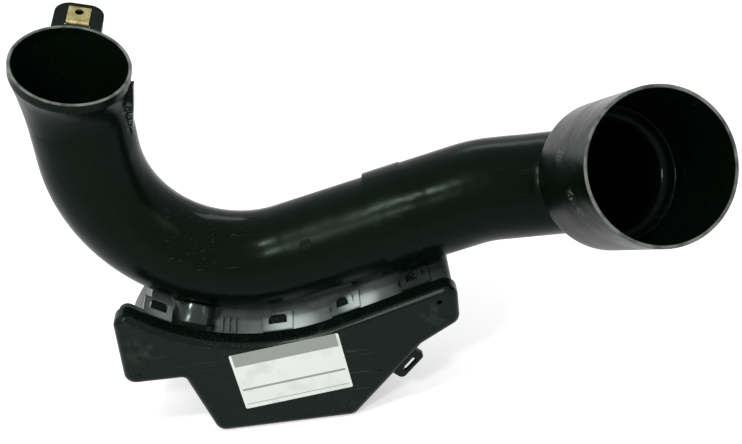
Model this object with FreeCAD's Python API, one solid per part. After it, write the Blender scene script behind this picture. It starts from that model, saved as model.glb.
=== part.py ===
import FreeCAD
import Part
import math
import os

os.makedirs("parts", exist_ok=True)
V = FreeCAD.Vector
UP = V(0, 0, 1)
BACK = V(0, 1, 0)
SEAM = V(-1.0, 1.2, -1.0)

# Moulded wall of both ducts and of the resonator box
wall = 2.5
rim_edge = 0.7
overlap = 1.0

# Inlet duct: upright limb, wide bend, straight run down the slope to the sleeve joint
tube_r = 39.0
limb_x = -121.0
limb_top = 274.0
bend_r = 115.0
run_low = V(26.0, 0, 132.9)
run_slope = 12.6

# Sleeve joint: the outlet duct's socket goes over the inlet duct's spigot
sleeve_gap = 0.2
socket_start = 74.5
socket_depth = 27.0
socket_step = 0.8
socket_back = 3.0
seat_gap = 0.6

# Outlet duct: shallow bend, short run, elbow toward the front
shallow_at = 160.5
shallow_r = 100.0
level_run = 81.0
level_slope = -1.8
elbow_r = 55.0
elbow_tail = 2.0
outlet_wall = 2.6

# Outlet cuff: a wide stepped mouth
cuff_side = 13.7
cuff_lift = 31.6
cuff_r = 56.5
cuff_len = 105.0
cuff_back_round = 5.0
cuff_throat_round = 7.0

# Inlet mouth: a flared collar cut at a slant
mouth_side = 4.5
mouth_front = 10.0
mouth_up = 46.5
mouth_axis = V(0.27, -0.26, 0.926)
mouth_r = 44.5
collar_len = 8.0
throat_up = 14.0
throat_in = 0.2
throat_out = -1.6
throat_grow = 0.8

# Fixing tab on the far side of the inlet mouth, with a slot for the clip nut
tab_w = 37.0
tab_shift = -1.5
tab_end = 74.0
tab_t = 4.0
tab_drop = 2.5
tab_round = 12.0
tab_root = 12.0
slot_w = 19.0
slot_near = 47.5
slot_far = 53.0
tab_hole_r = 4.5
tab_hole_at = 62.0
gusset_t = 3.0
gusset_drop = 24.0

# Clip nut: folded strip with a drawn and threaded barrel
clip_w = 17.0
clip_t = 1.2
clip_gap = 0.15
clip_leaf = 68.0
clip_hole_r = 3.3
barrel_r = 4.6
barrel_len = 5.0
thread_r = 2.5
fold_depth = 0.55

# Locating rib on the inner side of the limb
rib_t = 10.0
rib_y = -6.0
rib_top = 297.0
rib_foot = 246.0
rib_out = 7.0
rib_root = 14.0
rib_lead = 16.0
rib_taper = 3.0
rib_foot_in = 4.0

# Resonator box: outline of its front, which follows the underside of the duct
cover_gap = 0.15
saddle_low = 81.0
saddle_r = 169.0
box_left_top = V(-120.0, 0, 131.0)
box_right_top = V(144.0, 0, 115.5)
box_corners = [
    V(144.0, 0, 84.0),
    V(113.0, 0, 66.0),
    V(53.0, 0, cover_gap + wall),
    V(-57.0, 0, cover_gap + wall),
    V(-75.0, 0, 61.5),
    V(-122.0, 0, 62.0),
]
box_round = 7.0
box_front = -50.0
box_back = 36.0
back_round = 5.0
wing_angle = -35.0
wing_back = -33.0

# Resonator cover: pan with sloping sides that caps the box
cover_front = -58.0
cover_rim = -42.0
cover_round = 6.0
vent_r = 2.2
vent_at = V(131.5, 0, 104.0)
pip_r = 2.5
pip_h = 0.5
pip_spots = [(-112.0, 121.0), (-113.0, 68.0), (78.0, 43.0)]

# Snap latches: loops on the cover over hooks on the box
latch_w = 24.0
latch_t = 2.0
latch_lift = 0.65
latch_end = -16.0
latch_root = 3.0
window_w = 15.0
window_near = -31.0
window_far = -20.0
hook_gap = 0.4
hook_w = 12.0
hook_run = 7.5
hook_h = 3.6
hook_toe = 0.3
hook_flat = 1.0
latch_arc = [-33.0, 0.5]
latch_run = [12.0, 72.0]

# Stiffening ribs beside the bulge
slat_w = 2.0
slat_h = 2.6
slat_near = -38.0
slat_far = -20.0
slat_angles = [-15.0, -13.2, -11.4]

# Bulge of the box under the bend
neck_angle = -21.6
bulge_r = 26.0
bulge_h = 5.0
bulge_near = -41.0
bulge_far = 30.0

# Neck from the duct into the resonator, with its seal
neck_r = 15.0
neck_len = 28.0
seal_t = 3.0
seal_gap = 0.05
seal_lip = 1.6
seal_room = 0.7
collar_t = 3.0
neck_collar_len = 16.0
collar_room = 10.0

# Cradle ribs that carry the straight run of the duct
cradle_gap = 0.2
cradle_t = 3.0
cradle_near = 6.0
cradle_far = 32.0
cradle_spots = [18.0, 46.0]

# Strap eye on the slanting side of the cover
eye_at = 0.73
eye_len = 29.0
eye_out = 13.0
eye_t = 4.0
eye_y = -53.0
eye_slot_len = 14.0
eye_slot_w = 4.0
eye_round = 4.0
eye_edge = 2.5


def slope(degrees):
    return V(math.cos(math.radians(degrees)), 0, math.sin(math.radians(degrees)))


def toward_front(side, lift):
    level = math.cos(math.radians(lift))
    across = math.radians(side)
    return V(level * math.sin(across), -level * math.cos(across), math.sin(math.radians(lift)))


def unit(vector):
    length = vector.Length
    return V(vector.x / length, vector.y / length, vector.z / length)


def circle(radius, centre, axis):
    seam = unit(SEAM - axis * SEAM.dot(axis))
    ring = Part.makeCircle(radius)
    ring.Placement = FreeCAD.Placement(centre, FreeCAD.Rotation(seam, axis.cross(seam), axis, "ZXY"))
    return Part.Wire(ring)


def rod(radius, start, axis, length):
    return Part.Face(circle(radius, start, axis)).extrude(axis * length)


def turn(radius, start, axis, centre, degrees):
    disc = Part.Face(circle(radius, start, axis))
    return disc.revolve(centre, (start - centre).cross(axis), degrees)


def corner_arc(before, corner, after, radius):
    a = unit(before - corner)
    b = unit(after - corner)
    half = a.getAngle(b) / 2
    centre = corner + unit(a + b) * (radius / math.sin(half))
    reach = radius / math.tan(half)
    return corner + a * reach, corner + b * reach, centre, 180 - math.degrees(2 * half)


def fused(shapes):
    return shapes[0].multiFuse(shapes[1:]).removeSplitter()


def polygon(points):
    return Part.makePolygon(points + [points[0]])


def upright_edges(solid, axis):
    lines = [e for e in solid.Edges if len(e.Vertexes) == 2]
    return [e for e in lines if abs(e.tangentAt(e.FirstParameter).dot(axis)) > 0.9]


def plate(points, depth):
    return Part.Face(polygon(points)).extrude(depth)


# Centre line of the inlet duct
run_axis = slope(run_slope)
run_side = V(-run_axis.z, 0, run_axis.x)
bend_x = limb_x + bend_r
bend_z = run_low.z + (bend_r - (bend_x - run_low.x) * run_side.x) / run_side.z
bend_centre = V(bend_x, 0, bend_z)
bend_start = V(limb_x, 0, bend_z)
bend_end = bend_centre - run_side * bend_r
limb_start = V(limb_x, 0, limb_top)
spigot_end = bend_end + run_axis * (socket_start + socket_depth - seat_gap)


def inlet_tube(radius):
    limb = rod(radius, limb_start, -UP, limb_top - bend_z)
    bend = turn(radius, bend_start, -UP, bend_centre, 90 + run_slope)
    run = rod(radius, bend_end, run_axis, (spigot_end - bend_end).Length)
    return fused([limb, bend, run])


# Slanted inlet mouth
mouth_dir = unit(mouth_axis)
mouth_at = limb_start + V(mouth_side, -mouth_front, mouth_up)
collar_base = mouth_at - mouth_dir * collar_len
throat_dir = unit(UP * 2 + mouth_dir)
throat_at = limb_start + V(throat_in, throat_out, throat_up)


def mouth_solid(inset, extra):
    rings = [
        circle(tube_r - inset, limb_start, UP),
        circle(tube_r + throat_grow - inset, throat_at, throat_dir),
        circle(mouth_r - inset, collar_base, mouth_dir),
    ]
    flare = Part.makeLoft(rings, True, False)
    return flare, rod(mouth_r - inset, collar_base, mouth_dir, collar_len + extra)


# Placement of the fixing tab in the plane of the mouth: x across, y to the far side, z out of the mouth
far_dir = unit(BACK - mouth_dir * BACK.dot(mouth_dir))
across_dir = far_dir.cross(mouth_dir)
mouth_frame = FreeCAD.Placement(FreeCAD.Matrix(
    across_dir.x, far_dir.x, mouth_dir.x, mouth_at.x,
    across_dir.y, far_dir.y, mouth_dir.y, mouth_at.y,
    across_dir.z, far_dir.z, mouth_dir.z, mouth_at.z,
    0, 0, 0, 1))
tab_low = -tab_drop - tab_t
tab_start = mouth_r - tab_root

tab = Part.makeBox(tab_w, tab_end - tab_start, tab_t, V(tab_shift - tab_w / 2, tab_start, tab_low))
tab_ends = [e for e in upright_edges(tab, UP) if e.CenterOfMass.y > tab_end - wall]
tab = tab.makeFillet(tab_round, tab_ends)
slot_base = V(tab_shift - slot_w / 2, slot_near, tab_low - tab_t)
tab_slot = Part.makeBox(slot_w, slot_far - slot_near, 4 * tab_t, slot_base)
tab = tab.cut(tab_slot)
tab = tab.cut(rod(tab_hole_r, V(tab_shift, tab_hole_at, tab_low - tab_t), UP, 4 * tab_t))
gussets = []
for side in (-1, 1):
    x = tab_shift + side * (tab_w / 2 - gusset_t / 2) - gusset_t / 2
    gusset_top = tab_low + overlap
    gusset_low = tab_low - gusset_drop
    gusset_far = tab_end - tab_round
    corners = [V(x, tab_start, gusset_top), V(x, gusset_far, gusset_top), V(x, tab_start, gusset_low)]
    gussets.append(plate(corners, V(gusset_t, 0, 0)))
tab_group = [tab] + gussets
for shape in tab_group:
    shape.Placement = mouth_frame.multiply(shape.Placement)

# Locating rib on the limb
rib_x = limb_x + tube_r
rib = plate([
    V(rib_x - rib_root, rib_y - rib_t / 2, rib_top),
    V(rib_x + rib_out, rib_y - rib_t / 2, rib_top),
    V(rib_x + rib_out - rib_taper, rib_y - rib_t / 2, rib_top - rib_lead),
    V(rib_x - rib_foot_in, rib_y - rib_t / 2, rib_foot),
    V(rib_x - rib_root, rib_y - rib_t / 2, rib_foot),
], V(0, rib_t, 0))

# Neck on the outside of the bend, pointing into the resonator
neck_dir = V(math.sin(math.radians(neck_angle)), 0, -math.cos(math.radians(neck_angle)))
saddle_z = saddle_low + saddle_r
saddle_centre = V(0, 0, saddle_z)
neck_root = bend_centre + neck_dir * bend_r
neck_out = rod(neck_r, neck_root, neck_dir, tube_r + neck_len)
neck_bore = rod(neck_r - wall, neck_root, neck_dir, tube_r + neck_len + overlap)

flare_out, collar_out = mouth_solid(0, 0)
flare_in, collar_in = mouth_solid(wall, overlap)
inlet_out = fused([inlet_tube(tube_r), flare_out, collar_out, rib, neck_out] + tab_group)
inlet_duct = inlet_out.cut(inlet_tube(tube_r - wall)).cut(flare_in).cut(collar_in).cut(neck_bore)
mouth_rims = [e for e in inlet_duct.Edges if e.Closed and (e.CenterOfMass - mouth_at).Length < rim_edge]
inlet_duct = inlet_duct.makeChamfer(rim_edge, mouth_rims)

# Centre line of the outlet duct
socket_r = tube_r + sleeve_gap
socket_out = socket_r + wall
outlet_r = socket_out - socket_step
socket_at = bend_end + run_axis * socket_start
stop_at = socket_at + run_axis * socket_depth
shallow = bend_end + run_axis * shallow_at
elbow = shallow + slope(level_slope) * level_run
cuff_dir = toward_front(cuff_side, cuff_lift)
elbow_half = (shallow - elbow).getAngle(cuff_dir) / 2
cuff_at = elbow + cuff_dir * (elbow_r / math.tan(elbow_half) + elbow_tail)
first = corner_arc(stop_at, shallow, elbow, shallow_r)
second = corner_arc(shallow, elbow, cuff_at, elbow_r)
outlet_bore_r = outlet_r - outlet_wall


def outlet_run(radius):
    axis = slope(level_slope)
    parts = [
        rod(radius, stop_at, run_axis, (first[0] - stop_at).Length),
        turn(radius, first[0], run_axis, first[2], first[3]),
        rod(radius, first[1], axis, (second[0] - first[1]).Length),
        turn(radius, second[0], axis, second[2], second[3]),
        rod(radius, second[1], cuff_dir, (cuff_at - second[1]).Length),
    ]
    return fused(parts)


outlet_tube = outlet_run(outlet_r).cut(outlet_run(outlet_bore_r))
socket_wall = rod(socket_out, socket_at, run_axis, socket_depth + socket_back)
socket_wall = socket_wall.cut(rod(socket_r, socket_at, run_axis, socket_depth))
socket_wall = socket_wall.cut(rod(outlet_bore_r, socket_at, run_axis, socket_depth + socket_back + overlap))

# Profile of the cuff: throat, step and mouth, turned about the cuff's axis
radial = unit(V(1, 0, 0) - cuff_dir * cuff_dir.x)


def on_cuff(r, s):
    return cuff_at + radial * r + cuff_dir * s


def quarter(centre_r, centre_s, radius, from_deg, to_deg):
    pts = []
    for a in (from_deg, (from_deg + to_deg) / 2, to_deg):
        out = radius * math.cos(math.radians(a))
        along = radius * math.sin(math.radians(a))
        pts.append(on_cuff(centre_r + out, centre_s + along))
    return Part.Arc(*pts).toShape()


step_s = cuff_throat_round
inner_throat = cuff_throat_round + wall
inner_back = cuff_back_round - wall
throat_edge = outlet_bore_r + inner_throat
cuff_in = cuff_r - wall
outer_line = [
    quarter(outlet_r + cuff_throat_round, 0, cuff_throat_round, 180, 90),
    Part.makeLine(on_cuff(outlet_r + cuff_throat_round, step_s), on_cuff(cuff_r - cuff_back_round, step_s)),
    quarter(cuff_r - cuff_back_round, step_s + cuff_back_round, cuff_back_round, -90, 0),
    Part.makeLine(on_cuff(cuff_r, step_s + cuff_back_round), on_cuff(cuff_r, cuff_len - rim_edge)),
    Part.makeLine(on_cuff(cuff_r, cuff_len - rim_edge), on_cuff(cuff_r - rim_edge, cuff_len)),
    Part.makeLine(on_cuff(cuff_r - rim_edge, cuff_len), on_cuff(cuff_in + rim_edge, cuff_len)),
    Part.makeLine(on_cuff(cuff_in + rim_edge, cuff_len), on_cuff(cuff_in, cuff_len - rim_edge)),
    Part.makeLine(on_cuff(cuff_in, cuff_len - rim_edge), on_cuff(cuff_in, step_s + cuff_back_round)),
    quarter(cuff_in - inner_back, step_s + cuff_back_round, inner_back, 0, -90),
    Part.makeLine(on_cuff(cuff_in - inner_back, inner_throat), on_cuff(throat_edge, inner_throat)),
    quarter(throat_edge, 0, inner_throat, 90, 180),
    Part.makeLine(on_cuff(outlet_bore_r, 0), on_cuff(outlet_r, 0)),
]
cuff = Part.Face(Part.Wire(Part.__sortEdges__(outer_line))).revolve(cuff_at, cuff_dir, 360)
outlet_duct = fused([outlet_tube, socket_wall, cuff])

# Outline of the resonator box
left_angle = math.degrees(math.atan2(box_left_top.x, saddle_z - box_left_top.z))


def on_saddle(degrees, r=saddle_r):
    return saddle_centre + V(math.sin(math.radians(degrees)), 0, -math.cos(math.radians(degrees))) * r


to_right = box_right_top - saddle_centre
right_angle = math.atan2(to_right.x, -to_right.z)
tangent_angle = math.degrees(right_angle - math.acos(saddle_r / to_right.Length))
saddle_left = on_saddle(left_angle)
saddle_end = on_saddle(tangent_angle)
sharp = [
    Part.Arc(saddle_left, on_saddle((left_angle + tangent_angle) / 2), saddle_end).toShape(),
    Part.makeLine(saddle_end, box_right_top),
]
around = [box_right_top] + box_corners + [saddle_left]
for i in range(len(around) - 1):
    sharp.append(Part.makeLine(around[i], around[i + 1]))
slab = Part.Face(Part.Wire(sharp)).extrude(BACK)
uprights = upright_edges(slab, BACK)
uprights = [e for e in uprights if (e.CenterOfMass - saddle_end - BACK * 0.5).Length > 1]
slab = slab.makeFillet(box_round, uprights)
outline = min(slab.Faces, key=lambda face: face.CenterOfMass.y).OuterWire


def ring_at(offset, y):
    wire = outline.copy() if abs(offset) < 1e-6 else outline.makeOffset2D(offset)
    wire.translate(V(0, y, 0) - V(0, wire.CenterOfMass.y, 0))
    return wire


def front_edges(solid, y):
    picked = []
    for e in solid.Edges:
        if abs(e.BoundBox.YMin - y) < 0.01 and abs(e.BoundBox.YMax - y) < 0.01:
            picked.append(e)
    return picked


# Box: open to the front, closed at the back
box_out = Part.Face(ring_at(0, box_front)).extrude(BACK * (box_back - box_front))
box_out = box_out.makeFillet(back_round, front_edges(box_out, box_back))
box_depth = box_back - box_front
box_in = Part.Face(ring_at(-wall, box_front - overlap)).extrude(BACK * (box_depth - wall + overlap))


def beyond_wing(inset, y):
    reach = 2 * saddle_r
    block = Part.makeBox(reach, reach, 2 * reach, V(-reach - inset, y, -reach))
    block.Placement = FreeCAD.Placement(on_saddle(wing_angle), FreeCAD.Rotation(BACK, -wing_angle))
    return block


box_out = box_out.cut(beyond_wing(0, wing_back))
box_in = box_in.cut(beyond_wing(-wall, wing_back - wall))
neck_from = neck_root - saddle_centre
neck_along = neck_from.dot(neck_dir)
neck_reach = math.sqrt(neck_along ** 2 - neck_from.dot(neck_from) + saddle_r ** 2) - neck_along
bulge_at = neck_root + neck_dir * (neck_reach + bulge_r - bulge_h)
bulge_out = rod(bulge_r, bulge_at + BACK * bulge_near, BACK, bulge_far - bulge_near)
bulge_in = rod(bulge_r - wall, bulge_at + BACK * (bulge_near + wall), BACK, bulge_far - bulge_near - 2 * wall)
seal_r = neck_r + seal_t
ring_start = neck_root + neck_dir * (tube_r + seal_room + seal_lip)
neck_ring = rod(seal_r + collar_t, ring_start, neck_dir, neck_collar_len)
neck_hole = rod(seal_r, ring_start - neck_dir * overlap, neck_dir, neck_collar_len + 2 * overlap)
neck_seat = rod(seal_r + collar_t + seal_room, ring_start - neck_dir * collar_room, neck_dir, collar_room)


def latch_frames():
    frames = []
    for degrees in latch_arc:
        frames.append(FreeCAD.Placement(on_saddle(degrees), FreeCAD.Rotation(BACK, -degrees)))
    for reach in latch_run:
        spot = saddle_end + slope(tangent_angle) * reach
        frames.append(FreeCAD.Placement(spot, FreeCAD.Rotation(BACK, -tangent_angle)))
    return frames


hooks = []
loops = []
for frame in latch_frames():
    hook_far = window_far - hook_gap
    hook_side = [
        V(-hook_w / 2, hook_far - hook_run, -overlap),
        V(-hook_w / 2, hook_far - hook_run, hook_toe),
        V(-hook_w / 2, hook_far - hook_flat, hook_h),
        V(-hook_w / 2, hook_far, hook_h),
        V(-hook_w / 2, hook_far, -overlap),
    ]
    hook = plate(hook_side, V(hook_w, 0, 0))
    hook.Placement = frame
    hooks.append(hook)
    loop_len = latch_end - cover_rim + latch_root
    loop = Part.makeBox(latch_w, loop_len, latch_t, V(-latch_w / 2, cover_rim - latch_root, latch_lift))
    window_base = V(-window_w / 2, window_near, latch_lift - latch_t)
    window = Part.makeBox(window_w, window_far - window_near, 3 * latch_t, window_base)
    loop = loop.cut(window)
    loop.Placement = frame
    loops.append(loop)

slats = []
for degrees in slat_angles:
    slat = Part.makeBox(slat_w, slat_far - slat_near, slat_h + overlap, V(-slat_w / 2, slat_near, -overlap))
    slat.Placement = FreeCAD.Placement(on_saddle(degrees), FreeCAD.Rotation(BACK, -degrees))
    slats.append(slat)

cradles = []
for reach in cradle_spots:
    foot = saddle_end + slope(tangent_angle) * reach
    cradle_base = V(-cradle_t / 2, cradle_near, -overlap)
    cradle = Part.makeBox(cradle_t, cradle_far - cradle_near, 2 * tube_r, cradle_base)
    cradle.Placement = FreeCAD.Placement(foot, FreeCAD.Rotation(BACK, -tangent_angle))
    run_room = rod(tube_r + cradle_gap, bend_end - run_axis * bend_r, run_axis, 3 * bend_r)
    cradle = cradle.cut(run_room)
    cradles.append(min(cradle.Solids, key=lambda s: s.CenterOfMass.z))

diag_top = box_corners[1]
diag_low = box_corners[2]
diag_dir = unit(diag_top - diag_low)
diag_out = V(diag_dir.z, 0, -diag_dir.x)
eye_mid = diag_low + (diag_top - diag_low) * eye_at
eye_frame = FreeCAD.Placement(FreeCAD.Matrix(
    -diag_dir.x, 0, diag_out.x, eye_mid.x,
    0, 1, 0, 0,
    -diag_dir.z, 0, diag_out.z, eye_mid.z,
    0, 0, 0, 1))
eye = Part.makeBox(eye_len, eye_t, eye_out + overlap, V(-eye_len / 2, eye_y, -overlap))
eye_ends = [e for e in upright_edges(eye, BACK) if e.CenterOfMass.z > eye_out / 2]
eye = eye.makeFillet(eye_round, eye_ends)
eye_slot_base = V(-eye_slot_len / 2, eye_y - eye_t, eye_out - eye_slot_w - eye_edge)
eye = eye.cut(Part.makeBox(eye_slot_len, 3 * eye_t, eye_slot_w, eye_slot_base))
eye.Placement = eye_frame

body_out = fused([box_out, bulge_out, neck_ring] + hooks + slats + cradles)
rooms = [box_in.cut(neck_ring), bulge_in.cut(neck_ring), neck_hole, neck_seat]
resonator_body = body_out.cut(rooms)

# Seal sleeve between the neck and the box
seal_foot = ring_start - neck_dir * seal_lip
seal = rod(seal_r - seal_gap, seal_foot, neck_dir, neck_collar_len + seal_lip)
seal = seal.fuse(rod(seal_r + collar_t - seal_room, seal_foot, neck_dir, seal_lip - seal_gap))
seal_bore = rod(neck_r + seal_gap, seal_foot - neck_dir * overlap, neck_dir, 2 * neck_collar_len)
neck_seal = seal.cut(seal_bore).removeSplitter()

# Cover: sloping pan with rounded front edge, loops on its rim
cover_out = cover_gap + wall
pan_out = Part.Face(ring_at(cover_out, cover_front)).extrude(BACK * (cover_rim - cover_front))
pan_out = pan_out.makeFillet(cover_round, front_edges(pan_out, cover_front))
pan_in = Part.Face(ring_at(cover_gap, cover_front + wall)).extrude(BACK * (cover_rim - cover_front))
pan_in = pan_in.makeFillet(cover_round - wall, front_edges(pan_in, cover_front + wall))
pips = [rod(pip_r, V(x, cover_front - pip_h, z), BACK, pip_h + overlap) for x, z in pip_spots]
vent = rod(vent_r, V(vent_at.x, cover_front - wall, vent_at.z), BACK, 3 * wall)
resonator_cover = fused([pan_out.cut(pan_in), eye.cut(pan_in)] + loops + pips).cut(vent)

# Clip nut over the tab's slot edge
clip_low = tab_low - clip_gap
clip_high = tab_low + tab_t + clip_gap
fold_mid = (clip_low + clip_high) / 2
fold_r = (clip_high - clip_low) / 2
fold_at = slot_far - clip_gap
clip_x = tab_shift - clip_w / 2


def folded(radius, start_x, width):
    bend = rod(radius, V(start_x, fold_at, fold_mid), V(1, 0, 0), width)
    leaf = Part.makeBox(width, clip_leaf - fold_at, 2 * radius, V(start_x, fold_at, fold_mid - radius))
    return bend.fuse(leaf)


clip = folded(fold_r + clip_t, clip_x, clip_w)
clip_room = V(clip_x - overlap, fold_at - fold_r * fold_depth, fold_mid - fold_r)
clip = clip.cut(Part.makeBox(clip_w + 2 * overlap, clip_leaf, 2 * fold_r, clip_room))
barrel = rod(barrel_r, V(tab_shift, tab_hole_at, clip_low - clip_t - barrel_len), UP, barrel_len + clip_t / 2)
clip = clip.fuse(barrel)
clip = clip.cut(rod(clip_hole_r, V(tab_shift, tab_hole_at, fold_mid), UP, clip_leaf))
clip = clip.cut(rod(thread_r, V(tab_shift, tab_hole_at, fold_mid - clip_leaf), UP, 2 * clip_leaf))
clip_nut = clip.removeSplitter()
clip_nut.Placement = mouth_frame.multiply(clip_nut.Placement)

# Every piece is placed from the centre of the outlet cuff's mouth
datum = on_cuff(0, cuff_len)
pieces = {
    "inlet_duct": inlet_duct,
    "outlet_duct": outlet_duct,
    "resonator_body": resonator_body,
    "resonator_cover": resonator_cover,
    "neck_seal": neck_seal,
    "clip_nut": clip_nut,
}
for name, shape in pieces.items():
    placed = shape.Solids[0].copy()
    placed.translate(-datum)
    placed.exportStep("parts/" + name + ".step")
    print(name, "solids", len(shape.Solids), "valid", shape.isValid(), "volume", round(shape.Volume))


def told(label, point, axis):
    spot = point - datum
    print(label, [round(c / 1000, 6) for c in spot], "axis", [round(c, 6) for c in axis])


told("datum in the build frame", datum * 2, cuff_dir)
told("outlet_cuff", on_cuff(0, (cuff_len + step_s + cuff_back_round) / 2), cuff_dir)
told("inlet_mouth", mouth_at - mouth_dir * (collar_len / 2), mouth_dir)
thread_at = V(tab_shift, tab_hole_at, clip_low - clip_t - barrel_len / 2)
told("clip_thread", mouth_frame.multVec(thread_at), mouth_dir)
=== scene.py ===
import math

import bpy
from mathutils import Matrix, Vector


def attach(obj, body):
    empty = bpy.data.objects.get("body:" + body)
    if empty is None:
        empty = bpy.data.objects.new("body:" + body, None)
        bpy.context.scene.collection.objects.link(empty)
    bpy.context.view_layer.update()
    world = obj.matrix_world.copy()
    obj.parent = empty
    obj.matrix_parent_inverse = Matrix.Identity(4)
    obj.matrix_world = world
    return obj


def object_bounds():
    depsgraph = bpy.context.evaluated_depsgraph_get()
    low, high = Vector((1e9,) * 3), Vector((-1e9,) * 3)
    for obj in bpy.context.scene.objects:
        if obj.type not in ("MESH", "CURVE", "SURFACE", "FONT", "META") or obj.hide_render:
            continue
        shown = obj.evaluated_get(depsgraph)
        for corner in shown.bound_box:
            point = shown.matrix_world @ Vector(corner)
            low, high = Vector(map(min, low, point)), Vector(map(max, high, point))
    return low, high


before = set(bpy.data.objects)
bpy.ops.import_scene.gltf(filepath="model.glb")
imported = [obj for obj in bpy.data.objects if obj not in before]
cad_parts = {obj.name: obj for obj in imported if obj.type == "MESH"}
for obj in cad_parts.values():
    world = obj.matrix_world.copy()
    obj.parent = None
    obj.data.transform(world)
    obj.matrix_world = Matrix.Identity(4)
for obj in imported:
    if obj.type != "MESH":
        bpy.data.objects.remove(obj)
cadLow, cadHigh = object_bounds()
print("frame loaded with", len(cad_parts), "pieces")

scene = bpy.context.scene
scene.view_settings.view_transform = "Standard"

# where things are on the duct, in metres from the centre of the outlet mouth
places = {
    "cuffAxis": (0.201721, -0.827495, 0.523986),
    "inletLip": (-0.403965, 0.11628, 0.076715),
    "inletAxis": (0.270274, -0.260264, 0.926939),
    "tubePlane": 0.12628,
    "coverFace": 0.06828,
}


def addNode(material, kind, **values):
    node = material.node_tree.nodes.new(kind)
    for key, value in values.items():
        setattr(node, key, value)
    return node


def join(material, source, target):
    material.node_tree.links.new(source, target)


def startMaterial(name):
    material = bpy.data.materials.new(name)
    material.use_nodes = True
    shader = material.node_tree.nodes["Principled BSDF"]
    coords = addNode(material, "ShaderNodeTexCoord").outputs["Object"]
    return material, shader, coords


def cloud(material, coords, scale, detail=3.0, stretch=None, turn=None):
    vector = coords
    if stretch or turn:
        mapping = addNode(material, "ShaderNodeMapping")
        mapping.inputs["Scale"].default_value = stretch or (1, 1, 1)
        mapping.inputs["Rotation"].default_value = [math.radians(a) for a in (turn or (0, 0, 0))]
        join(material, coords, mapping.inputs["Vector"])
        vector = mapping.outputs["Vector"]
    noise = addNode(material, "ShaderNodeTexNoise")
    noise.inputs["Scale"].default_value = scale
    noise.inputs["Detail"].default_value = detail
    join(material, vector, noise.inputs["Vector"])
    return noise.outputs["Fac"]


def remap(material, value, fromLow, fromHigh, toLow, toHigh, soft=False):
    node = addNode(material, "ShaderNodeMapRange")
    node.interpolation_type = "SMOOTHSTEP" if soft else "LINEAR"
    node.inputs["From Min"].default_value = fromLow
    node.inputs["From Max"].default_value = fromHigh
    node.inputs["To Min"].default_value = toLow
    node.inputs["To Max"].default_value = toHigh
    join(material, value, node.inputs["Value"])
    return node.outputs["Result"]


def sums(material, operation, first, second, third=None):
    node = addNode(material, "ShaderNodeMath", operation=operation)
    for spot, value in enumerate((first, second, third)):
        if value is None:
            continue
        if isinstance(value, (int, float)):
            node.inputs[spot].default_value = value
        else:
            join(material, value, node.inputs[spot])
    return node.outputs["Value"]


def times(material, first, second):
    return sums(material, "MULTIPLY", first, second)


def larger(material, first, second):
    return sums(material, "MAXIMUM", first, second)


def along(material, coords, origin, axis):
    shift = addNode(material, "ShaderNodeVectorMath", operation="SUBTRACT")
    shift.inputs[1].default_value = origin
    join(material, coords, shift.inputs[0])
    dot = addNode(material, "ShaderNodeVectorMath", operation="DOT_PRODUCT")
    dot.inputs[1].default_value = axis
    join(material, shift.outputs["Vector"], dot.inputs[0])
    return dot.outputs["Value"]


def nearTo(material, coords, centre, inside, outside):
    gap = addNode(material, "ShaderNodeVectorMath", operation="DISTANCE")
    gap.inputs[1].default_value = centre
    join(material, coords, gap.inputs[0])
    return remap(material, gap.outputs["Value"], inside, outside, 1.0, 0.0, soft=True)


def awayFrom(material, coords, centre, inside, outside):
    return sums(material, "SUBTRACT", 1.0, nearTo(material, coords, centre, inside, outside))


def blendColours(material, amount, first, second):
    node = addNode(material, "ShaderNodeMix", data_type="RGBA")
    for spot, value in ((6, first), (7, second)):
        if isinstance(value, tuple):
            node.inputs[spot].default_value = (*value, 1.0)
        else:
            join(material, value, node.inputs[spot])
    join(material, amount, node.inputs[0])
    return node.outputs[2]


def bumps(material, layers, shader):
    last = None
    for height, strength, depth in layers:
        node = addNode(material, "ShaderNodeBump")
        node.inputs["Strength"].default_value = strength
        node.inputs["Distance"].default_value = depth
        join(material, height, node.inputs["Height"])
        if last is not None:
            join(material, last, node.inputs["Normal"])
        last = node.outputs["Normal"]
    join(material, last, shader.inputs["Normal"])


def scratches(material, coords, look):
    lines = None
    for turn in look["scratchTurns"]:
        hair = cloud(material, coords, 1.0, 2.0, look["scratchStretch"], turn)
        cut = remap(material, hair, look["scratchCut"], look["scratchCut"] + 0.02, 0.0, 1.0)
        lines = cut if lines is None else larger(material, lines, cut)
    patch = remap(material, cloud(material, coords, look["patchScale"], 2.0), 0.45, 0.68, 0.0, 1.0)
    return times(material, lines, patch)


ductLook = {
    "colour": (0.0013, 0.0036, 0.0022),
    "dust": (0.20, 0.21, 0.19),
    # pale rim colour: edge wear and a painted rim highlight
    "rim": (0.16, 0.17, 0.155),
    "rimDepth": (-0.0011, -0.0004),
    "roughLow": 0.15,
    "roughHigh": 0.36,
    "specular": 0.062,
    "sheen": (0.80, 1.0, 0.90),
    "scratchTurns": [(8, 4, 31), (5, -12, -18), (2, 40, 74)],
    "scratchStretch": (16, 520, 520),
    "scratchCut": 0.70,
    "patchScale": 14.0,
    "scuffsAndRibSheen": [
        ((-0.0623, 0.0431, -0.0048), 0.010),
        ((-0.0609, 0.0125, -0.0233), 0.008),
        ((-0.0563, 0.0044, -0.0313), 0.006),
        # these last two spots, on the inlet's guide rib, are a painted highlight
        ((-0.3699, 0.1153, 0.0340), 0.010),
        ((-0.3708, 0.1153, 0.0234), 0.008),
    ],
    "seamHalf": 0.0006,
}


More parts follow.
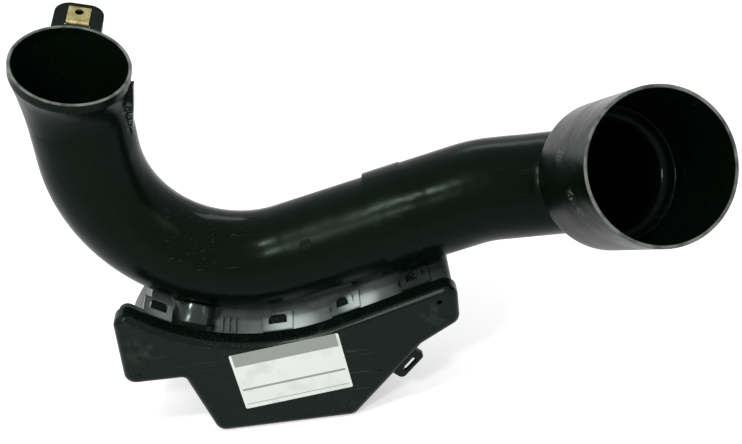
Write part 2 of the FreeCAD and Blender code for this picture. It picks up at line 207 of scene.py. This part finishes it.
def makeDuctPlastic(look):
    material, shader, coords = startMaterial("ductPlastic")
    broad = cloud(material, coords, 11.0, 3.0)
    wave = cloud(material, coords, 34.0, 2.0)
    peel = cloud(material, coords, 420.0, 2.0)
    dustSpeck = remap(material, cloud(material, coords, 950.0, 2.0), 0.64, 0.74, 0.0, 1.0)
    dustPatch = remap(material, cloud(material, coords, 17.0, 4.0), 0.46, 0.72, 0.0, 1.0)
    dust = times(material, dustSpeck, dustPatch)
    lines = scratches(material, coords, look)
    # rubbed spots where the duct has been handled, and a painted highlight on the inlet's guide rib
    rub = None
    for centre, size in look["scuffsAndRibSheen"]:
        spot = nearTo(material, coords, centre, size * 0.25, size)
        rub = spot if rub is None else larger(material, rub, spot)
    rubGrain = remap(material, cloud(material, coords, 200.0, 6.0, (0.7, 3, 3)), 0.50, 0.62, 0.0, 1.0)
    rub = times(material, rub, rubGrain)
    # pale line along the two open rims, partly edge wear and partly a painted highlight where the rims
    # catch the light
    rimFrom, rimTo = look["rimDepth"]
    cuffDepth = along(material, coords, (0, 0, 0), places["cuffAxis"])
    cuffEdge = remap(material, cuffDepth, rimFrom, rimTo, 0.0, 1.0)
    lipDepth = along(material, coords, places["inletLip"], places["inletAxis"])
    lipEdge = remap(material, lipDepth, rimFrom, rimTo, 0.0, 1.0)
    lipNear = nearTo(material, coords, places["inletLip"], 0.050, 0.056)
    edges = larger(material, cuffEdge, times(material, lipEdge, lipNear))
    wearAndGlint = remap(material, cloud(material, coords, 90.0, 4.0), 0.35, 0.6, 0.35, 1.0)
    edges = times(material, edges, wearAndGlint)
    marks = larger(material, times(material, lines, 0.12), times(material, dust, 0.04))
    # the rubbed spots, the rib's painted highlight among them, take the pale dust colour
    marks = larger(material, marks, times(material, rub, 0.7))
    tint = blendColours(material, marks, look["colour"], look["dust"])
    join(material, blendColours(material, edges, tint, look["rim"]), shader.inputs["Base Color"])
    rough = remap(material, broad, 0.32, 0.68, look["roughLow"], look["roughHigh"])
    rough = sums(material, "MULTIPLY_ADD", marks, 0.4, rough)
    join(material, rough, shader.inputs["Roughness"])
    shader.inputs["Specular IOR Level"].default_value = look["specular"]
    shader.inputs["Specular Tint"].default_value = (*look["sheen"], 1.0)
    # parting line of the two mould halves, in the plane of the tube
    side = along(material, coords, (0, places["tubePlane"], 0), (0, 1, 0))
    seam = remap(material, sums(material, "ABSOLUTE", side, 0), 0.0, look["seamHalf"], 1.0, 0.0, soft=True)
    bumps(material, [
        (wave, 0.22, 0.0040),
        (peel, 0.05, 0.0004),
        (seam, 0.5, 0.0004),
        (lines, -0.18, 0.0002),
        (larger(material, rub, dust), 0.12, 0.0002),
    ], shader)
    return material


boxLook = {
    "colour": (0.0060, 0.0095, 0.0075),
    # pale colour of the open strip: partly dust film, partly a painted sheen
    "filmAndSheen": (0.60, 0.69, 0.66),
    "sheenFilmFront": 0.112,
    "sheenFilmBack": 0.128,
    "sheenFilmMiddle": -0.2755,
    "sheenFilmHalf": 0.1293,
    "sheenFilmLow": -0.169,
    "sheenFilmEnds": [(-0.394, -0.374, 0.35), (-0.184, -0.207, 0.20)],
    # spots of painted highlight on the open strip of the upper wall
    "paintedHighlightSpots": [((-0.275, 0.092, -0.158), 0.034), ((-0.217, 0.095, -0.149), 0.026)],
    "hood": (-0.349, 0.094, -0.1404),
    "hooks": [
        (-0.3795, 0.1005, -0.1355),
        (-0.286, 0.1005, -0.1625),
        (-0.236, 0.1005, -0.152),
        (-0.178, 0.1005, -0.139),
    ],
    "dust": (0.34, 0.36, 0.34),
    "roughLow": 0.24,
    "roughHigh": 0.40,
    "specular": 0.10,
    "sheen": (0.84, 1.0, 0.93),
    "scratchTurns": [(3, 5, 82), (6, 3, 24)],
    "scratchStretch": (22, 620, 620),
    "scratchCut": 0.70,
    "patchScale": 20.0,
}


def filmAndSheenPatches(material, coords, look):
    patches = remap(material, cloud(material, coords, 30.0, 4.0, (1, 0.4, 1)), 0.34, 0.66, 0.13, 0.32)
    # the strip is brightest at the painted highlight spots
    for centre, size in look["paintedHighlightSpots"]:
        patches = larger(material, patches, nearTo(material, coords, centre, size * 0.1, size))
    # the pale film and painted sheen fade toward both ends of the wall, painting those ends darker
    across = along(material, coords, (0, 0, 0), (1, 0, 0))
    for thin, full, least in look["sheenFilmEnds"]:
        patches = times(material, patches, remap(material, across, thin, full, least, 1.0))
    return patches


def makeBoxPlastic(look):
    material, shader, coords = startMaterial("boxPlastic")
    streak = cloud(material, coords, 1.0, 3.0, (160, 14, 160))
    wave = cloud(material, coords, 48.0, 2.0)
    lines = scratches(material, coords, look)
    dustSpeck = remap(material, cloud(material, coords, 800.0, 2.0), 0.62, 0.73, 0.0, 1.0)
    dustPatch = remap(material, cloud(material, coords, 22.0, 3.0), 0.42, 0.65, 0.0, 1.0)
    dust = times(material, dustSpeck, dustPatch)
    marks = larger(material, times(material, lines, 0.45), times(material, dust, 0.5))
    # pale film left on the strip of the upper wall that lies open in front of the duct, partly dust film
    # and partly a painted sheen where that strip is lit; kept off the hooks and the hood
    depthIn = along(material, coords, (0, 0, 0), (0, 1, 0))
    filmAndSheen = remap(material, depthIn, look["sheenFilmFront"], look["sheenFilmBack"], 1.0, 0.0, soft=True)
    filmAndSheen = times(material, filmAndSheen, filmAndSheenPatches(material, coords, look))
    ends = sums(material, "ABSOLUTE", along(material, coords, (look["sheenFilmMiddle"], 0, 0), (1, 0, 0)), 0)
    ends = remap(material, ends, look["sheenFilmHalf"] - 0.002, look["sheenFilmHalf"], 1.0, 0.0)
    filmAndSheen = times(material, filmAndSheen, ends)
    above = along(material, coords, (0, 0, look["sheenFilmLow"]), (0, 0, 1))
    filmAndSheen = times(material, filmAndSheen, remap(material, above, 0.0, 0.002, 0.0, 1.0))
    for hook in look["hooks"]:
        filmAndSheen = times(material, filmAndSheen, awayFrom(material, coords, hook, 0.0075, 0.0095))
    filmAndSheen = times(material, filmAndSheen, awayFrom(material, coords, look["hood"], 0.019, 0.023))
    skin = blendColours(material, filmAndSheen, look["colour"], look["filmAndSheen"])
    join(material, blendColours(material, marks, skin, look["dust"]), shader.inputs["Base Color"])
    rough = remap(material, streak, 0.3, 0.7, look["roughLow"], look["roughHigh"])
    join(material, sums(material, "MULTIPLY_ADD", marks, 0.35, rough), shader.inputs["Roughness"])
    shader.inputs["Specular IOR Level"].default_value = look["specular"]
    shader.inputs["Specular Tint"].default_value = (*look["sheen"], 1.0)
    bumps(material, [(wave, 0.22, 0.002), (streak, 0.05, 0.0004), (lines, -0.2, 0.0002)], shader)
    return material


coverLook = {
    "colour": (0.0020, 0.0044, 0.0030),
    "dust": (0.10, 0.108, 0.098),
    "roughLow": 0.17,
    "roughHigh": 0.29,
    "specular": 0.13,
    "sheen": (0.80, 1.0, 0.90),
    "loopsFrom": 0.0850,
    "scratchTurns": [(4, 12, 3), (2, -38, 8), (5, 66, 2)],
    "scratchStretch": (20, 560, 560),
    "scratchCut": 0.69,
    "patchScale": 16.0,
    "rub": [
        ((-0.246, 0.0683, -0.150), 0.020),
        ((-0.160, 0.0683, -0.150), 0.016),
        ((-0.395, 0.0683, -0.150), 0.018),
    ],
}


def makeCoverPlastic(look):
    material, shader, coords = startMaterial("coverPlastic")
    broad = cloud(material, coords, 13.0, 4.0)
    grain = cloud(material, coords, 1500.0, 2.0)
    wave = cloud(material, coords, 30.0, 2.0)
    lines = scratches(material, coords, look)
    dustSpeck = remap(material, cloud(material, coords, 850.0, 3.0), 0.60, 0.72, 0.0, 1.0)
    dustPatch = remap(material, cloud(material, coords, 15.0, 4.0), 0.42, 0.66, 0.1, 1.0)
    dust = times(material, dustSpeck, dustPatch)
    rub = None
    for centre, size in look["rub"]:
        spot = nearTo(material, coords, centre, size * 0.2, size)
        rub = spot if rub is None else larger(material, rub, spot)
    rub = times(material, rub, remap(material, cloud(material, coords, 120.0, 5.0), 0.45, 0.7, 0.0, 1.0))
    marks = larger(material, times(material, lines, 0.4), times(material, dust, 0.6))
    marks = larger(material, marks, times(material, rub, 0.25))
    # the latch loops lie back on the upper wall and carry its pale film and painted sheen
    depthIn = along(material, coords, (0, 0, 0), (0, 1, 0))
    loops = remap(material, depthIn, look["loopsFrom"], look["loopsFrom"] + 0.003, 0.0, 1.0)
    loops = times(material, loops, filmAndSheenPatches(material, coords, boxLook))
    skin = blendColours(material, loops, look["colour"], boxLook["filmAndSheen"])
    join(material, blendColours(material, marks, skin, look["dust"]), shader.inputs["Base Color"])
    rough = remap(material, broad, 0.3, 0.7, look["roughLow"], look["roughHigh"])
    join(material, sums(material, "MULTIPLY_ADD", marks, 0.3, rough), shader.inputs["Roughness"])
    shader.inputs["Specular IOR Level"].default_value = look["specular"]
    shader.inputs["Specular Tint"].default_value = (*look["sheen"], 1.0)
    bumps(material, [(wave, 0.06, 0.0015), (grain, 0.03, 0.0002), (lines, -0.2, 0.0002)], shader)
    return material


sealLook = {
    "colour": (0.011, 0.011, 0.0105),
    "bloom": (0.035, 0.035, 0.033),
    "roughLow": 0.62,
    "roughHigh": 0.85,
}


def makeSealRubber(look):
    material, shader, coords = startMaterial("sealRubber")
    bloom = remap(material, cloud(material, coords, 120.0, 4.0), 0.4, 0.7, 0.0, 1.0)
    tint = blendColours(material, bloom, look["colour"], look["bloom"])
    join(material, tint, shader.inputs["Base Color"])
    rough = remap(material, bloom, 0.0, 1.0, look["roughLow"], look["roughHigh"])
    join(material, rough, shader.inputs["Roughness"])
    shader.inputs["Specular IOR Level"].default_value = 0.3
    bumps(material, [(cloud(material, coords, 900.0, 2.0), 0.12, 0.0003)], shader)
    return material


zincLook = {
    "pale": (0.36, 0.32, 0.15),
    "deep": (0.22, 0.18, 0.065),
    "stain": (0.07, 0.062, 0.04),
    "roughLow": 0.38,
    "roughHigh": 0.58,
}


def makeYellowZinc(look):
    material, shader, coords = startMaterial("yellowZinc")
    tone = remap(material, cloud(material, coords, 160.0, 4.0), 0.35, 0.65, 0.0, 1.0)
    stain = remap(material, cloud(material, coords, 420.0, 4.0), 0.58, 0.72, 0.0, 0.8)
    brushed = cloud(material, coords, 1.0, 3.0, (2600, 220, 2600))
    plate = blendColours(material, tone, look["pale"], look["deep"])
    join(material, blendColours(material, stain, plate, look["stain"]), shader.inputs["Base Color"])
    rough = remap(material, brushed, 0.3, 0.7, look["roughLow"], look["roughHigh"])
    join(material, rough, shader.inputs["Roughness"])
    shader.inputs["Metallic"].default_value = 1.0
    bumps(material, [(brushed, 0.06, 0.0002), (stain, -0.15, 0.0002)], shader)
    return material


finishes = {
    "inlet_duct": makeDuctPlastic(ductLook),
    "resonator_body": makeBoxPlastic(boxLook),
    "resonator_cover": makeCoverPlastic(coverLook),
    "neck_seal": makeSealRubber(sealLook),
    "clip_nut": makeYellowZinc(zincLook),
}
finishes["outlet_duct"] = finishes["inlet_duct"]
for nodeName, material in finishes.items():
    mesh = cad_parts[nodeName].data
    mesh.materials.clear()
    mesh.materials.append(material)
print("finishes on", len(finishes), "pieces")


def selectNone():
    if bpy.context.object and bpy.context.object.mode != "OBJECT":
        bpy.ops.object.mode_set(mode="OBJECT")
    bpy.ops.object.select_all(action="DESELECT")


def pickFaces(piece, wanted):
    bpy.ops.object.mode_set(mode="OBJECT")
    for part in (piece.data.vertices, piece.data.edges, piece.data.polygons):
        for item in part:
            item.select = False
    for face in piece.data.polygons:
        face.select = wanted(face)
    bpy.ops.object.mode_set(mode="EDIT")
    bpy.ops.mesh.select_mode(type="FACE")


def settle(piece, place):
    bpy.ops.object.mode_set(mode="OBJECT")
    piece.matrix_world = place
    bpy.context.view_layer.update()
    bpy.ops.object.transform_apply(location=True, rotation=True, scale=True)


# blank paper label on the front of the cover
labelLook = {
    "width": 0.0890,
    "height": 0.0555,
    "centre": (-0.27927, -0.18938),
    "turn": 6.2,
    "thick": 0.00016,
    "corner": 0.0016,
    "paper": (0.72, 0.75, 0.72),
    "band": (0.27, 0.285, 0.265),
    "rule": (0.26, 0.275, 0.26),
    "grime": (0.42, 0.42, 0.38),
    "margin": 0.0020,
    "bandLow": 0.0150,
    "rules": [(-0.0085, 0.0009), (-0.0235, 0.00025)],
}


def makeLabelPaper(look):
    material, shader, coords = startMaterial("labelPaper")
    lean = math.radians(look["turn"])
    origin = (look["centre"][0], 0, look["centre"][1])
    acrossLabel = along(material, coords, origin, (math.cos(lean), 0, math.sin(lean)))
    upLabel = along(material, coords, origin, (-math.sin(lean), 0, math.cos(lean)))
    inkHalf = look["width"] / 2 - look["margin"]
    inside = sums(material, "ABSOLUTE", acrossLabel, 0)
    inside = remap(material, inside, inkHalf - 0.0002, inkHalf, 1.0, 0.0)
    band = remap(material, upLabel, look["bandLow"], look["bandLow"] + 0.0003, 0.0, 1.0)
    band = times(material, band, inside)
    ink = None
    for height, half in look["rules"]:
        gap = sums(material, "ABSOLUTE", sums(material, "SUBTRACT", upLabel, height), 0)
        line = remap(material, gap, half, half + 0.0002, 1.0, 0.0)
        ink = line if ink is None else larger(material, ink, line)
    ink = times(material, ink, inside)
    grime = remap(material, cloud(material, coords, 45.0, 5.0), 0.5, 0.78, 0.0, 0.55)
    fibre = cloud(material, coords, 1400.0, 3.0)
    colour = blendColours(material, grime, look["paper"], look["grime"])
    colour = blendColours(material, ink, colour, look["rule"])
    colour = blendColours(material, band, colour, look["band"])
    join(material, colour, shader.inputs["Base Color"])
    join(material, remap(material, fibre, 0.3, 0.7, 0.42, 0.58), shader.inputs["Roughness"])
    shader.inputs["Specular IOR Level"].default_value = 0.4
    bumps(material, [(cloud(material, coords, 70.0, 2.0), 0.18, 0.0008), (fibre, 0.05, 0.0001)], shader)
    return material


def makeLabel(look):
    selectNone()
    bpy.ops.mesh.primitive_plane_add(size=1)
    piece = bpy.context.object
    piece.name = "coverLabel"
    bpy.ops.object.mode_set(mode="EDIT")
    bpy.ops.transform.resize(value=(look["width"], look["height"], 1))
    bpy.ops.mesh.select_all(action="SELECT")
    bpy.ops.mesh.bevel(offset=look["corner"], segments=5, affect="VERTICES")
    bpy.ops.mesh.select_all(action="SELECT")
    bpy.ops.mesh.extrude_region_move(TRANSFORM_OT_translate={"value": (0, 0, look["thick"])})
    bpy.ops.mesh.select_all(action="SELECT")
    bpy.ops.mesh.normals_make_consistent(inside=False)
    stand = Matrix.Translation((look["centre"][0], places["coverFace"] - 0.00002, look["centre"][1]))
    upright = Matrix.Rotation(math.radians(90), 4, "X")
    settle(piece, stand @ upright @ Matrix.Rotation(math.radians(look["turn"]), 4, "Z"))
    piece.data.materials.append(makeLabelPaper(look))
    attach(piece, "root")
    return piece


makeLabel(labelLook)
print("label laid on the cover")

# round mould stamp on the front of the straight run, a ring with a raised middle
stampLook = {
    "radius": 0.0050,
    "ring": 0.0011,
    "rise": 0.0005,
    "middle": 0.0016,
    "centre": (-0.2537, 0.0933, -0.0878),
    "out": (-0.11, -0.86, 0.50),
    "sink": 0.00035,
}


def makeStamp(look):
    selectNone()
    bpy.ops.mesh.primitive_circle_add(vertices=48, radius=look["radius"], fill_type="NGON")
    piece = bpy.context.object
    piece.name = "mouldStamp"
    bpy.ops.object.mode_set(mode="EDIT")
    bpy.ops.mesh.select_all(action="SELECT")
    bpy.ops.mesh.inset(thickness=look["ring"])
    bpy.ops.mesh.inset(thickness=look["radius"] - look["ring"] - look["middle"])
    ringFrom = look["radius"] - look["ring"] * 1.2
    pickFaces(piece, lambda face: face.center.length > ringFrom or face.center.length < 0.0001)
    bpy.ops.mesh.extrude_region_move(TRANSFORM_OT_translate={"value": (0, 0, look["rise"])})
    bpy.ops.object.mode_set(mode="OBJECT")
    soften = piece.modifiers.new("soften", "BEVEL")
    soften.width = 0.00015
    soften.segments = 2
    soften.limit_method = "ANGLE"
    bpy.ops.object.modifier_apply(modifier="soften")
    wall = piece.modifiers.new("wall", "SOLIDIFY")
    wall.thickness = 0.0004
    wall.offset = -1
    bpy.ops.object.modifier_apply(modifier="wall")
    turn = Vector(look["out"]).normalized().to_track_quat("Z", "Y").to_matrix().to_4x4()
    spot = Vector(look["centre"]) - Vector(look["out"]).normalized() * look["sink"]
    settle(piece, Matrix.Translation(spot) @ turn)
    bpy.ops.object.shade_smooth_by_angle(angle=math.radians(35))
    piece.data.materials.append(finishes["inlet_duct"])
    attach(piece, "root")
    return piece


makeStamp(stampLook)
print("mould stamp set on the duct")

# sloping half-round hood of the box in front of the neck's seat
hoodLook = {
    "radius": 0.0180,
    "barrel": (-0.360385, -0.169235),
    "lean": 21.6,
    "slope": 52.0,
    "middle": (0.09325, 0.0321),
    "upTo": 0.00775,
    "downTo": 0.0140,
    "front": 0.0868,
    "foot": 0.0185,
    "wall": 0.0012,
    "gloss": {"specular": 0.45, "roughLow": 0.15, "roughHigh": 0.26},  # the hood is shinier than the box
}


def makeHood(look):
    selectNone()
    lean, slope = math.radians(look["lean"]), math.radians(look["slope"])
    rise, back = Vector((math.sin(lean), 0, math.cos(lean))), Vector((0, 1, 0))
    axis = rise * math.sin(slope) + back * math.cos(slope)
    outward = rise * math.cos(slope) - back * math.sin(slope)
    barrel = Vector((look["barrel"][0], 0, look["barrel"][1]))
    centre = barrel + back * look["middle"][0] + rise * look["middle"][1] - outward * look["radius"]
    centre = centre + axis * (look["upTo"] - look["downTo"]) / 2
    length = look["upTo"] + look["downTo"]
    bpy.ops.mesh.primitive_cylinder_add(
        vertices=120, radius=look["radius"], depth=length, end_fill_type="NOTHING")
    piece = bpy.context.object
    piece.name = "boxHood"
    turn = Matrix((outward.cross(axis), outward, axis)).transposed().to_4x4()
    settle(piece, Matrix.Translation(centre) @ turn)
    bpy.ops.object.mode_set(mode="EDIT")
    cuts = [
        (centre - outward * 0.001, outward),
        (back * look["front"], back),
        (barrel + rise * look["foot"], rise),
    ]
    for spot, keep in cuts:
        bpy.ops.mesh.select_all(action="SELECT")
        bpy.ops.mesh.bisect(plane_co=spot, plane_no=keep, clear_inner=True)
    bpy.ops.object.mode_set(mode="OBJECT")
    wall = piece.modifiers.new("wall", "SOLIDIFY")
    wall.thickness = look["wall"]
    wall.offset = -1
    bpy.ops.object.modifier_apply(modifier="wall")
    soften = piece.modifiers.new("soften", "BEVEL")
    soften.width = 0.0004
    soften.segments = 2
    soften.limit_method = "ANGLE"
    bpy.ops.object.modifier_apply(modifier="soften")
    bpy.ops.object.shade_smooth_by_angle(angle=math.radians(35))
    finish = makeBoxPlastic({**boxLook, **look["gloss"]})
    finish.name = "hoodPlastic"
    piece.data.materials.append(finish)
    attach(piece, "root")
    return piece


makeHood(hoodLook)
print("hood set on the box")

# floor and light
floorLook = {"colour": (0.80, 0.80, 0.80), "glow": 0.45, "size": 14.0}


def makeFloor(look):
    selectNone()
    bpy.ops.mesh.primitive_plane_add(size=look["size"], location=(-0.2, 0.1, cadLow.z - 0.0004))
    floor = bpy.context.object
    floor.name = "paleFloor"
    material, shader, coords = startMaterial("paleFloor")
    shader.inputs["Base Color"].default_value = (*look["colour"], 1.0)
    shader.inputs["Roughness"].default_value = 0.9
    shader.inputs["Specular IOR Level"].default_value = 0.0
    rays = addNode(material, "ShaderNodeLightPath")
    seen = larger(material, rays.outputs["Is Camera Ray"], rays.outputs["Is Glossy Ray"])
    seen = larger(material, seen, rays.outputs["Is Transmission Ray"])
    shader.inputs["Emission Color"].default_value = (1, 1, 1, 1)
    join(material, times(material, seen, look["glow"]), shader.inputs["Emission Strength"])
    floor.data.materials.append(material)


makeFloor(floorLook)

lampLook = {
    "key": {"at": (-0.64, -0.86, 0.74), "aim": (-0.22, 0.12, -0.05), "size": (0.18, 0.13), "watts": 5.4},
    "over": {"at": (-0.56, -0.42, 0.98), "aim": (-0.24, 0.10, -0.07), "size": (0.16, 0.12), "watts": 5.6},
    "back": {"at": (0.15, 1.25, 0.85), "aim": (-0.2, 0.12, -0.1), "size": (0.9, 0.3), "watts": 4.0},
    "side": {"at": (1.15, -0.55, 0.55), "aim": (-0.1, 0.1, -0.05), "size": (0.5, 0.5), "watts": 2.0},
}
for lampName, look in lampLook.items():
    lamp = bpy.data.lights.new(lampName, "AREA")
    lamp.shape = "RECTANGLE"
    lamp.size, lamp.size_y = look["size"]
    lamp.energy = look["watts"]
    holder = bpy.data.objects.new(lampName, lamp)
    scene.collection.objects.link(holder)
    holder.location = look["at"]
    toward = Vector(look["aim"]) - Vector(look["at"])
    holder.rotation_euler = toward.to_track_quat("-Z", "Y").to_euler()

skyLook = {"level": 0.30}
world = bpy.data.worlds.new("paleRoom")
world.use_nodes = True
scene.world = world
sky = world.node_tree.nodes["Background"]
sky.inputs["Color"].default_value = (1, 1, 1, 1)
skyRays = world.node_tree.nodes.new("ShaderNodeLightPath")
skyMix = world.node_tree.nodes.new("ShaderNodeMapRange")
skyMix.inputs["To Min"].default_value = skyLook["level"]
skyMix.inputs["To Max"].default_value = 1.0
skySeen = None
for ray in ("Is Camera Ray", "Is Glossy Ray", "Is Transmission Ray"):
    most = world.node_tree.nodes.new("ShaderNodeMath")
    most.operation = "MAXIMUM"
    world.node_tree.links.new(skyRays.outputs[ray], most.inputs[0])
    if skySeen is not None:
        world.node_tree.links.new(skySeen, most.inputs[1])
    skySeen = most.outputs["Value"]
world.node_tree.links.new(skySeen, skyMix.inputs["Value"])
world.node_tree.links.new(skyMix.outputs["Result"], sky.inputs["Strength"])
print("floor, lamps and room ready")

# camera at the photograph's angle
cameraLook = {"aim": (-0.201465, 0.12628, -0.094785), "away": 1.05, "down": 32.0, "roll": 7.0, "lens": 63.7}


def makeCamera(look):
    down, roll = math.radians(look["down"]), math.radians(look["roll"])
    forward = Vector((0, math.cos(down), -math.sin(down)))
    level = Vector((1, 0, 0))
    raised = Vector((0, math.sin(down), math.cos(down)))
    right = level * math.cos(roll) - raised * math.sin(roll)
    upward = level * math.sin(roll) + raised * math.cos(roll)
    spot = Vector(look["aim"]) - forward * look["away"]
    data = bpy.data.cameras.new("viewer")
    data.lens = look["lens"]
    data.sensor_width = 36.0
    data.clip_start, data.clip_end = 0.01, 100.0
    holder = bpy.data.objects.new("viewer", data)
    scene.collection.objects.link(holder)
    turn = Matrix((right, upward, -forward)).transposed().to_4x4()
    holder.matrix_world = Matrix.Translation(spot) @ turn
    scene.camera = holder


makeCamera(cameraLook)
print("camera set")
